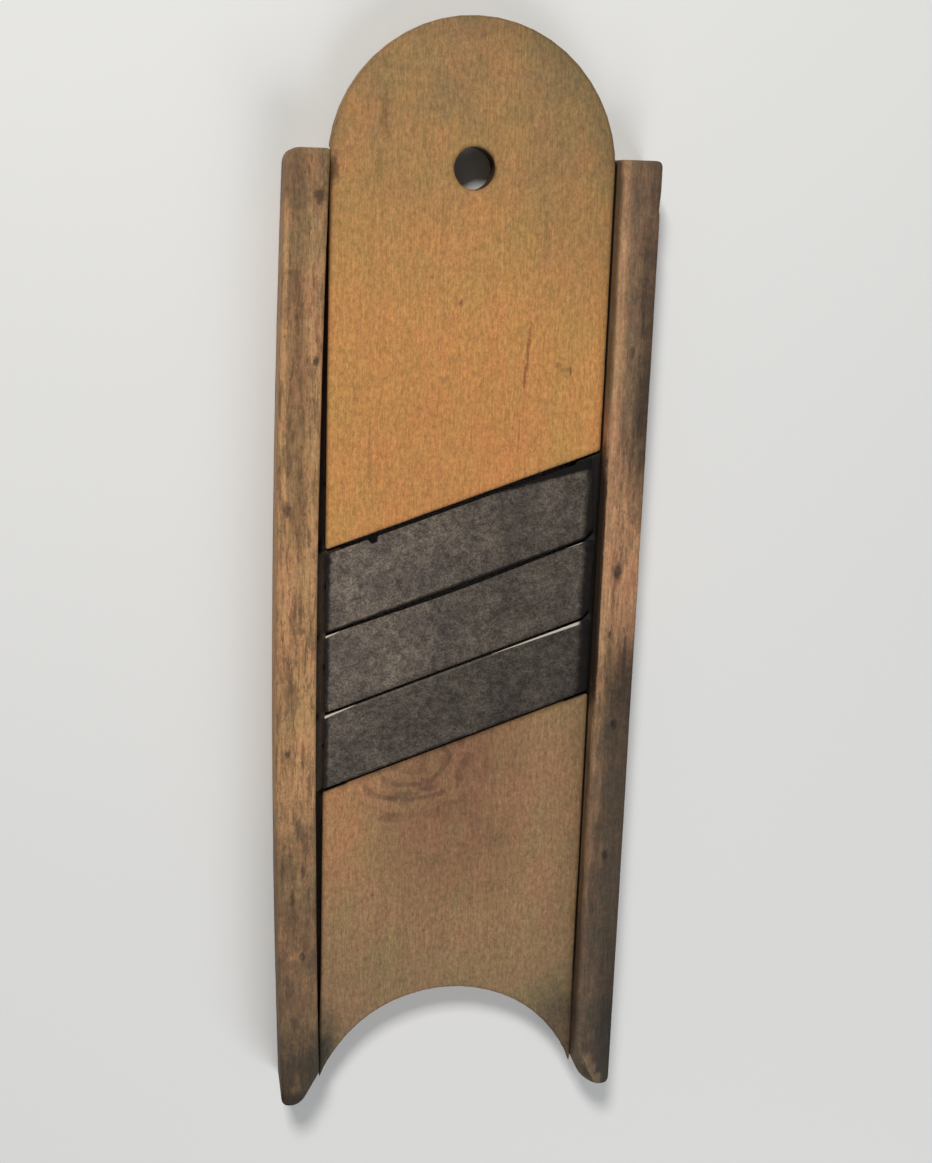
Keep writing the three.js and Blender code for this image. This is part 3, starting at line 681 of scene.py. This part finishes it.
def knife_steel(name, shade, seam_shade, edge_shade_strip, highlight_slivers):
    """Dark, dirty blade steel, with painted highlights in slivers along the honed cutting edge.

    shade is its brightness on the left; the next argument is how strong the painted shade along the
    back edge is. The painted shade strip along the cutting edge and each painted highlight sliver are
    (start, end, start width, end width, strength): see edge_strip().
    """
    paint = Paint(name)
    clouds = paint.noise(paint.place, scale=0.06, detail=5, roughness=0.6)
    mottle = paint.noise(paint.place, scale=0.32, detail=4, roughness=0.75)
    fine = paint.noise(paint.place, scale=1.1, detail=3, roughness=0.85)
    paint.colour = paint.blend(paint.ease(clouds, 0.34, 0.66), srgb(92, 83, 77), srgb(113, 103, 92))
    paint.tone(mottle, 0.34, 0.66, grey(0.66), grey(1.34))
    paint.tone(fine, 0.36, 0.64, (0.60, 0.58, 0.60, 1), (1.38, 1.38, 1.34, 1))
    across, _, _ = from_centre(paint)
    darkening = paint.ease(across, -50.0, 25.0, shade, shade * 0.66)
    shaded = paint.add("VectorMath", {"operation": "SCALE"}, Scale=darkening)
    paint.feed(shaded.inputs[0], paint.colour)
    paint.colour = shaded.outputs[0]
    # The knives' ends go black near the rails: dirt, with painted shade from the rails.
    ends = paint.maths("ADD", paint.ease(across, 48.5, 55.0), paint.ease(across, -53.5, -57.0))
    grime_and_shade(paint, ends, KNIFE_BLACK, 0.94, 0.3, 0.8)
    # Painted shade along the back edge, in the seam with the next knife's raised cutting edge.
    seam_shade_mask = paint.ease(paint.attribute("from_back"), 1.8, 0.2, 0.0, seam_shade)
    grime_and_shade(paint, seam_shade_mask, srgb(20, 17, 16), 0.85, 0.25)
    stain(paint, KNIFE_SHADE_AND_SOOT, KNIFE_BLACK)
    # Painted shade along the cutting edge, in the seam with the board or knife above it, wider towards the
    # right.
    soot_and_shade = edge_strip(paint, across, edge_shade_strip, 1.6)
    grime_and_shade(paint, soot_and_shade, srgb(11, 9, 8), 0.97, 0.3, 0.7)
    # Painted highlights on the bare honed cutting edge, where it catches the light.
    if highlight_slivers:
        edge_highlight = 0.0
        for highlight_sliver in highlight_slivers:
            edge_highlight = paint.maths("MAXIMUM", edge_highlight, edge_strip(paint, across, highlight_sliver, 0.2))
        paint.coat(edge_highlight, srgb(205, 197, 182))
        paint.set("Metallic", paint.times(edge_highlight, 0.5))
    paint.set("Base Color", paint.colour)
    paint.set("Roughness", paint.ease(mottle, 0.3, 0.7, 0.68, 0.52))
    paint.set("Specular IOR Level", 0.15)
    paint.bump(paint.maths("ADD", mottle, paint.times(fine, 0.5)), 0.06 * MM)
    return paint.material


def fixing_steel():
    paint = Paint("dull_fixing_steel")
    rust = paint.noise(paint.place, scale=0.7, detail=5, roughness=0.7)
    steel_grey, rust_brown = srgb(126, 120, 114), srgb(98, 66, 44)
    colour = paint.blend(paint.ease(rust, 0.42, 0.66), steel_grey, rust_brown)
    paint.set("Base Color", colour)
    paint.set("Metallic", paint.ease(rust, 0.42, 0.66, 0.9, 0.2))
    paint.set("Roughness", paint.ease(rust, 0.35, 0.7, 0.42, 0.8))
    paint.bump(rust, 0.06 * MM)
    return paint.material


# ---- worn wooden pieces -----------------------------------------------------

WOOD_CELL = 0.7 * MM          # side of the net of points that the wooden pieces are made of
KEPT_FACES = 0.4              # share of the net's faces that is left when the shape is done
FULL_ARRIS = 0.30 * MM        # how far an arris sinks where it counts as fully worn
SEAT_REACH = 57.5             # the knife seats lie this near the centre line,
SEAT_LOWEST = 12.5            # and at least this high above the back
SEAT_SINK = 0.4
TIP_SWELLING = 0.38           # how far the lower board's tips are pushed out


def merged_copy(node):
    """The CAD node's mesh with its split vertices joined again, as a bmesh."""
    shape = bmesh.new()
    shape.from_mesh(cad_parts[node].data)
    bmesh.ops.remove_doubles(shape, verts=shape.verts, dist=0.001 * MM)
    return shape


def link_piece(name, mesh):
    piece = bpy.data.objects.new(name, mesh)
    bpy.context.scene.collection.objects.link(piece)
    return piece


def apply_modifiers(piece):
    graph = bpy.context.evaluated_depsgraph_get()
    finished = bpy.data.meshes.new_from_object(piece.evaluated_get(graph))
    piece.modifiers.clear()
    piece.data = finished


def remesh(node, name):
    """The CAD node's shape as a fine, even net of points."""
    shape = merged_copy(node)
    mesh = bpy.data.meshes.new(name)
    shape.to_mesh(mesh)
    shape.free()
    piece = link_piece(name, mesh)
    modifier = piece.modifiers.new("remesh", "REMESH")
    modifier.mode = "VOXEL"
    modifier.voxel_size = WOOD_CELL
    apply_modifiers(piece)
    return piece


def vectors_of(mesh, name):
    """The vertices' "co" or "normal", one row for each vertex."""
    values = np.zeros(len(mesh.vertices) * 3)
    mesh.vertices.foreach_get(name, values)
    return values.reshape(-1, 3)


def move_points(mesh, points):
    mesh.vertices.foreach_set("co", points.ravel())
    mesh.update()


def relaxed(points, edges, rounds):
    """Each point moved towards the mean of its neighbours, rounds times: flats stay, arrises sink."""
    count = np.bincount(edges.ravel(), minlength=len(points))[:, None]
    for _ in range(rounds):
        total = np.zeros_like(points)
        for axis in range(3):
            first = np.bincount(edges[:, 0], points[edges[:, 1], axis], len(points))
            second = np.bincount(edges[:, 1], points[edges[:, 0], axis], len(points))
            total[:, axis] = first + second
        points = 0.5 * points + 0.5 * total / count
    return points


def noise_at(points, size, seed):
    """Smooth noise from about 0 to 1 whose lumps are size mm across."""
    shift = Vector((seed, -seed, 2 * seed))
    values = [noise.noise(Vector(point) / (size * MM) + shift) for point in points]
    return 0.5 + 0.5 * np.array(values)


def wear(piece, seed):
    """Rounds the arrises more in some places than others, and leaves the faces slightly uneven."""
    rounding, unevenness = 4, 0.12 * MM
    wear_lump, swell_lump = 14, 45
    mesh = piece.data
    points = vectors_of(mesh, "co")
    normals = vectors_of(mesh, "normal")
    edges = np.zeros(len(mesh.edges) * 2, int)
    mesh.edges.foreach_get("vertices", edges)
    step = relaxed(points, edges.reshape(-1, 2), rounding) - points
    patchy = np.clip(1.7 * noise_at(points, wear_lump, seed) - 0.15, 0.25, 1)[:, None]
    outward = (step * normals).sum(axis=1)
    inward_only = 1 - np.clip(outward / (0.1 * MM), 0, 1)[:, None]
    worn = points + step * patchy * inward_only
    swell = (noise_at(points, swell_lump, seed + 5) - 0.5) * unevenness
    worn += normals * swell[:, None]
    worn[:, 2] = np.maximum(worn[:, 2], 0)
    arris = mesh.attributes.new("arris", "FLOAT", "POINT")
    sink = np.linalg.norm(step, axis=1)
    arris.data.foreach_set("value", np.clip(sink / FULL_ARRIS, 0, 1))
    move_points(mesh, worn)


def thin_out(piece):
    modifier = piece.modifiers.new("thin_out", "DECIMATE")
    modifier.ratio = KEPT_FACES
    apply_modifiers(piece)


def smooth_shading(mesh):
    mesh.polygons.foreach_set("use_smooth", [True] * len(mesh.polygons))


LEFT_CHIPS = (
    (-58.4, 98, 1.4, 2.2), (-58.2, 84, 1.1, 1.8), (-60.6, 262, 1.2, 1.8), (-60.9, 244, 0.9, 1.4),
    (-59.3, 372, 1.2, 1.6), (-60.4, 300, 0.9, 1.2), (-60.7, 180, 1.0, 1.5), (-59.6, 128, 1.0, 1.6),
    (-74, 396, 2.0, 1.8), (-76.5, 150, 1.2, 1.6), (-62.7, 328.6, 1.2, 1.2), (-73.2, 165.2, 1.1, 1.4),
    (-66.2, 72.5, 1.3, 1.2), (-73.6, 268.9, 1.2, 1.0),
)
RIGHT_CHIPS = (
    (58.2, 300, 0.9, 1.2), (58.2, 178, 0.8, 1.2), (74.4, 392, 2.2, 2.4), (60, 408, 2.4, 1.8),
    (74.5, 250, 1.2, 1.4), (67.4, 174.6, 1.2, 1.6), (66.8, 113.7, 1.2, 1.4), (65.4, 242.2, 1.6, 1.4),
    (62.2, 11.3, 0.9, 1.6),
)


def chip(piece, chips):
    """Bites out of the face's arrises: each (x, y, radius, depth) is pressed in from the front.
    They are drawn out along the wood, and fade away reach mm below the boards' face."""
    along_squeeze, reach, crumb = 0.6, 4, 2.5
    points = vectors_of(piece.data, "co")
    for x, y, radius, depth in chips:
        spot_x, spot_y = from_feet(x, y)
        along = (points[:, 1] / MM - spot_y) * along_squeeze
        distance = np.hypot(points[:, 0] / MM - spot_x, along)
        dip = depth * np.exp(-((distance / radius) ** 2)) * noise_at(points, crumb, x)
        near_face = np.clip((points[:, 2] / MM - FACE_Z / MM + reach) / reach, 0, 1)
        points[:, 2] -= dip * near_face * MM
    move_points(piece.data, points)


LEFT_TOE = (-1, 14.5, 66, 3.0, 1.6)
RIGHT_TOE = (1, 11.5, 63.5, 5.0, 5.0)


def slant_toe(piece, side, start_y, end_x, width, fall):
    """Wears down the front arris of a foot's slanted inner side, which starts at start_y on the rail's
    inner wall and ends end_x from the centre line. The front falls by fall at the side itself, and by
    nothing width away from it."""
    lead_in, unworn_height, worn_height = 9, 14, 12
    points = vectors_of(piece.data, "co")
    start = np.array(from_feet(side * RAIL_INNER, start_y))
    end = np.array(from_feet(side * end_x, 0))
    line = (end - start) / np.linalg.norm(end - start)
    inwards = np.array((-line[1], line[0])) * side
    across = (points[:, :2] / MM - start) @ inwards
    along = (points[:, :2] / MM - start) @ line
    reach = np.clip(1 - across / width, 0, 1.2) * np.clip((along + lead_in) / lead_in, 0, 1)
    front = np.clip(points[:, 2] / MM - unworn_height, 0, worn_height) / worn_height
    points[:, 2] -= reach * front * fall * MM
    move_points(piece.data, points)


def sink_seats(piece):
    """Presses the knife seats down a little, as the knives have, so that these stay free to slide."""
    points = vectors_of(piece.data, "co")
    reach = np.abs(points[:, 0] - CENTRE_X) / MM
    level = points[:, 2] / MM
    seats = (reach < SEAT_REACH) & (level > SEAT_LOWEST) & (level < FACE_Z / MM)
    points[seats, 2] -= SEAT_SINK * MM
    move_points(piece.data, points)


def swell_feet(piece):
    """Pushes the board's two tips out against the rails, as swollen wood closes its joints."""
    points = vectors_of(piece.data, "co")
    across = points[:, 0] / MM - CENTRE_X / MM
    along = points[:, 1] / MM - FEET_Y / MM
    outermost = np.clip((np.abs(across) - 50) / 6, 0, 1)
    lowest = np.clip((58 - along) / 24, 0, 1)
    swelling = outermost * lowest
    points[:, 0] += np.sign(across) * swelling * TIP_SWELLING * MM
    move_points(piece.data, points)


def wooden_piece(node, name, material, seed, chips=(), toe=None, swollen=False):
    """A board or a rail, worn. A rail has a toe: see slant_toe(). The lower board is swollen."""
    piece = remesh(node, name)
    chip(piece, chips)
    if swollen:
        swell_feet(piece)
    if toe:
        sink_seats(piece)
        slant_toe(piece, *toe)
    wear(piece, seed)
    thin_out(piece)
    smooth_shading(piece.data)
    piece.data.materials.clear()
    piece.data.materials.append(material)
    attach(piece, "frame")
    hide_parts(node)


# ---- knives -----------------------------------------------------------------

ALONG_KNIFE = Vector((math.cos(KNIFE_SLANT), math.sin(KNIFE_SLANT), 0))
TO_EDGE = Vector((-math.sin(KNIFE_SLANT), math.cos(KNIFE_SLANT), 0))
EDGE_CUTS = (0.35, 0.8, 1.6, 3.0, 5.0)    # rows of points this far from the cutting edge
KNIFE_CELL = 3.0 * MM
WAVE_HEIGHT = 0.10 * MM
WAVES_PER_METRE = 45
RAGGEDNESS = 0.12 * MM
RAGS_PER_METRE = 380
RAGGED_REACH = 1.2 * MM


def sliced(shape, direction, places):
    """Cuts the mesh along the planes square to direction at each of places."""
    for distance in places:
        bmesh.ops.bisect_plane(
            shape,
            geom=shape.verts[:] + shape.edges[:] + shape.faces[:],
            dist=0.01 * MM,
            plane_co=direction * distance,
            plane_no=direction,
        )


def spaced(low, high, step):
    """Places between low and high, about step apart."""
    count = max(1, round((high - low) / step))
    return [low + (high - low) * i / count for i in range(1, count)]


def knife_piece(node, material):
    """The blade with a fine net of points: slight waves in its face and a ragged cutting edge."""
    shape = merged_copy(node)
    bmesh.ops.dissolve_limit(shape, angle_limit=math.radians(1), verts=shape.verts, edges=shape.edges)
    ends = [vert.co.dot(ALONG_KNIFE) for vert in shape.verts]
    reach = [vert.co.dot(TO_EDGE) for vert in shape.verts]
    edge, back = max(reach), min(reach)
    sliced(shape, TO_EDGE, [edge - cut * MM for cut in EDGE_CUTS] + [back + 0.5 * MM])
    sliced(shape, TO_EDGE, spaced(back + 1 * MM, edge - 6 * MM, KNIFE_CELL))
    sliced(shape, ALONG_KNIFE, spaced(min(ends), max(ends), KNIFE_CELL))
    bmesh.ops.triangulate(shape, faces=shape.faces)
    from_edge = shape.verts.layers.float.new("from_edge")
    from_back = shape.verts.layers.float.new("from_back")
    for vert in shape.verts:
        gap = edge - vert.co.dot(TO_EDGE)
        vert[from_edge] = gap / MM
        vert[from_back] = (vert.co.dot(TO_EDGE) - back) / MM
        wave = noise.noise(vert.co * WAVES_PER_METRE)
        ragged = noise.noise(vert.co * RAGS_PER_METRE) * max(0.0, 1 - gap / RAGGED_REACH)
        vert.co.z += WAVE_HEIGHT * wave
        if gap < RAGGED_REACH:
            vert.co -= TO_EDGE * RAGGEDNESS * (1 + ragged)
    mesh = bpy.data.meshes.new(node + "_worn")
    shape.to_mesh(mesh)
    shape.free()
    mesh.materials.clear()
    mesh.materials.append(material)
    piece = link_piece("worn_" + node, mesh)
    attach(piece, node + "_set")
    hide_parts(node)


# ---- fixings ----------------------------------------------------------------

TURN_SIDES = 28
NUT_SIDES = 48
THREAD_PITCH = 0.7
THREAD_DEPTH = 0.28
SCREW_HEAD = 2.95             # radius of the countersunk head
SCREW_SHANK = 1.35            # radius below the head
SCREW_LENGTH = 9.1
SCREW_POINT = 2.8             # length of the tapering point
SCREW_PITCH = 1.1
HEAD_RISE = 1.6               # height of the head's cone
THREAD_RISE = 3.2             # where the thread starts
HALF_SLOT = 0.4
SLOT_FLOOR = 0.75             # depth of the slot, and then the head's radius there
SLOT_FLOOR_REACH = SCREW_HEAD - (SCREW_HEAD - SCREW_SHANK) * SLOT_FLOOR / HEAD_RISE


def swept(rows):
    """A skin over rows of points. Each row is a ring of the same number of points."""
    verts = [point for row in rows for point in row]
    count = len(rows[0])
    faces = []
    for first in range(0, len(verts) - count, count):
        for i in range(count):
            k = (i + 1) % count
            faces.append((first + i, first + k, first + count + k, first + count + i))
    return verts, faces


def capped(rows, last_too=False):
    """The skin over rows, closed at the first row and, if wanted, at the last row too."""
    verts, faces = swept(rows)
    count = len(rows[0])
    faces.append(tuple(range(count)))
    if last_too:
        faces.append(tuple(range(len(verts) - count, len(verts))))
    return verts, faces


def ring(radius, level, sides=TURN_SIDES):
    """A row of points round the axis. radius is a number, or a function of the angle."""
    points = []
    for i in range(sides):
        angle = 2 * math.pi * i / sides
        reach = radius(angle) if callable(radius) else radius
        points.append((reach * math.cos(angle), reach * math.sin(angle), level))
    return points


def turned(profile, sides=TURN_SIDES):
    """A ring-shaped solid whose section goes round the (radius, level) pairs of profile."""
    rows = [ring(radius, level, sides) for radius, level in profile]
    return swept(rows + rows[:1])


def valley(level, pitch, angle):
    """1 in the valley of a helical thread, 0 on its crest."""
    phase = (level / pitch - angle / (2 * math.pi)) % 1
    return abs(2 * phase - 1)


def threaded_rod(radius, length):
    """A rod with bevelled ends and a real helical thread."""
    bevel, bevel_rise, rows_per_turn = 0.5, 0.4, 6
    threaded = length - 2 * bevel_rise
    steps = round(threaded / THREAD_PITCH * rows_per_turn)
    rows = [ring(radius - bevel, 0)]
    for j in range(steps + 1):
        level = bevel_rise + threaded * j / steps

        def crest(angle, level=level):
            return radius - THREAD_DEPTH * valley(level, THREAD_PITCH, angle)

        rows.append(ring(crest, level))
    rows.append(ring(radius - bevel, length))
    return capped(rows, last_too=True)


def washer_ring(inner, outer, height):
    soft = 0.15
    return turned((
        (inner, soft), (inner + soft, 0), (outer - soft, 0), (outer, soft),
        (outer, height - soft), (outer - soft, height), (inner + soft, height), (inner, height - soft),
    ))


def square_nut(bore, width, height, turn):
    """A square nut whose corners are chamfered on the outer face, round a chamfered bore."""
    half = width / 2
    blunt, edge, bore_edge = 0.25, 0.2, 0.4
    round_limit = half * 1.13

    def square(inset, limit=width):
        def reach(angle):
            spoke = (angle - turn + math.pi / 4) % (math.pi / 2) - math.pi / 4
            flat = (half - inset) / math.cos(spoke)
            return min(flat, math.hypot(half, half) - blunt - inset, limit)
        return reach

    return turned((
        (bore, height - bore_edge), (bore + bore_edge, height),
        (square(edge), height), (square(0), height - edge), (square(0), 0.75),
        (square(0, round_limit + 0.35), 0.35), (square(0.1, round_limit), 0),
        (bore + bore_edge, 0), (bore, bore_edge),
    ), NUT_SIDES)


def half_head(side):
    """Rows of points round the half of the screw's head that is on one side of the slot."""
    steps, rim_share, rim_depth = 16, 0.97, 0.12
    start = math.asin(HALF_SLOT / SCREW_HEAD)
    angles = [start + (math.pi - 2 * start) * i / steps for i in range(steps + 1)]

    def row(reach, level):
        return [
            (side * reach * math.cos(angle), side * max(HALF_SLOT, reach * math.sin(angle)), level)
            for angle in angles
        ]

    return [row(rim_share * SCREW_HEAD, 0), row(SCREW_HEAD, rim_depth), row(SLOT_FLOOR_REACH, SLOT_FLOOR)]


def screw_body():
    """Rows of points from the slot's floor over the plain shank and the thread to the point."""
    steps, thread_share, tip = 40, 0.28, 0.05
    rows = [ring(SLOT_FLOOR_REACH, SLOT_FLOOR), ring(SCREW_SHANK, HEAD_RISE), ring(SCREW_SHANK, THREAD_RISE)]
    for j in range(steps + 1):
        level = THREAD_RISE + (SCREW_LENGTH - THREAD_RISE) * j / steps
        taper = min(1.0, (SCREW_LENGTH - level) / SCREW_POINT)

        def crest(angle, level=level, taper=taper):
            left = 1 - thread_share * valley(level, SCREW_PITCH, angle)
            return max(tip, SCREW_SHANK * taper * left)

        rows.append(ring(crest, level))
    return rows


def slotted_screw(turn):
    """A countersunk wood screw, head down at z = 0 and point up, turned about its axis."""
    verts, faces = [], []
    for rows in (half_head(1), half_head(-1), screw_body()):
        part_verts, part_faces = capped(rows)
        faces += [tuple(len(verts) + i for i in face) for face in part_faces]
        verts += part_verts
    rotation = Matrix.Rotation(turn, 3, "Z")
    return [tuple(rotation @ Vector(point)) for point in verts], faces


def fixing(node, body, solid, material):
    """Stands solid, in millimetres about its own axis from z = 0 up, where the node's box is."""
    low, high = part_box(node)
    centre = (low + high) / 2
    verts, faces = solid
    mesh = bpy.data.meshes.new(node + "_made")
    places = [(centre.x + x * MM, centre.y + y * MM, low.z + z * MM) for x, y, z in verts]
    mesh.from_pydata(places, [], faces)
    mesh.validate()
    joined = bmesh.new()
    joined.from_mesh(mesh)
    bmesh.ops.remove_doubles(joined, verts=joined.verts, dist=0.002 * MM)
    bmesh.ops.recalc_face_normals(joined, faces=joined.faces)
    joined.to_mesh(mesh)
    joined.free()
    mesh.materials.append(material)
    piece = link_piece("made_" + node, mesh)
    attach(piece, body)
    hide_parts(node)


def box_size(node):
    """The width and height of the node's box, in millimetres."""
    low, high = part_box(node)
    return (high.x - low.x) / MM, (high.z - low.z) / MM


def knife_fixings(knife, side, material):
    """The stud, washer and nut that hold one end of a knife."""
    body = knife + "_set"
    stud, washer, nut = (f"{knife}_{side}_{part}" for part in ("stud", "washer", "nut"))
    diameter, length = box_size(stud)
    radius = diameter / 2
    fixing(stud, body, threaded_rod(radius, length), material)
    diameter, height = box_size(washer)
    fixing(washer, body, washer_ring(radius + 0.3, diameter / 2, height), material)
    slanted_width, height = box_size(nut)
    width = slanted_width / (math.cos(KNIFE_SLANT) + math.sin(KNIFE_SLANT))
    fixing(nut, body, square_nut(radius + 0.1, width, height, KNIFE_SLANT), material)


def board_screws(material):
    screws = sorted(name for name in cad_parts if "_screw_" in name)
    for i, node in enumerate(screws):
        fixing(node, "frame", slotted_screw(0.4 + 0.9 * i), material)


# ---- the whole slicer -------------------------------------------------------

make_camera()
make_lights()
make_floor()

wooden_piece("upper_board", "worn_upper_board", upper_board_wood(), 1.3)
wooden_piece("lower_board", "worn_lower_board", lower_board_wood(), 4.1, swollen=True)
wooden_piece("left_rail", "worn_left_rail", left_rail_wood(), 7.7, LEFT_CHIPS, LEFT_TOE)
wooden_piece("right_rail", "worn_right_rail", right_rail_wood(), 9.2, RIGHT_CHIPS, RIGHT_TOE)
for knife in KNIVES:
    knife_piece(knife, knife_steel(knife + "_steel", *KNIFE_LOOKS[knife]))
steel = fixing_steel()
for knife in KNIVES:
    for side in SIDES:
        knife_fixings(knife, side, steel)
board_screws(steel)
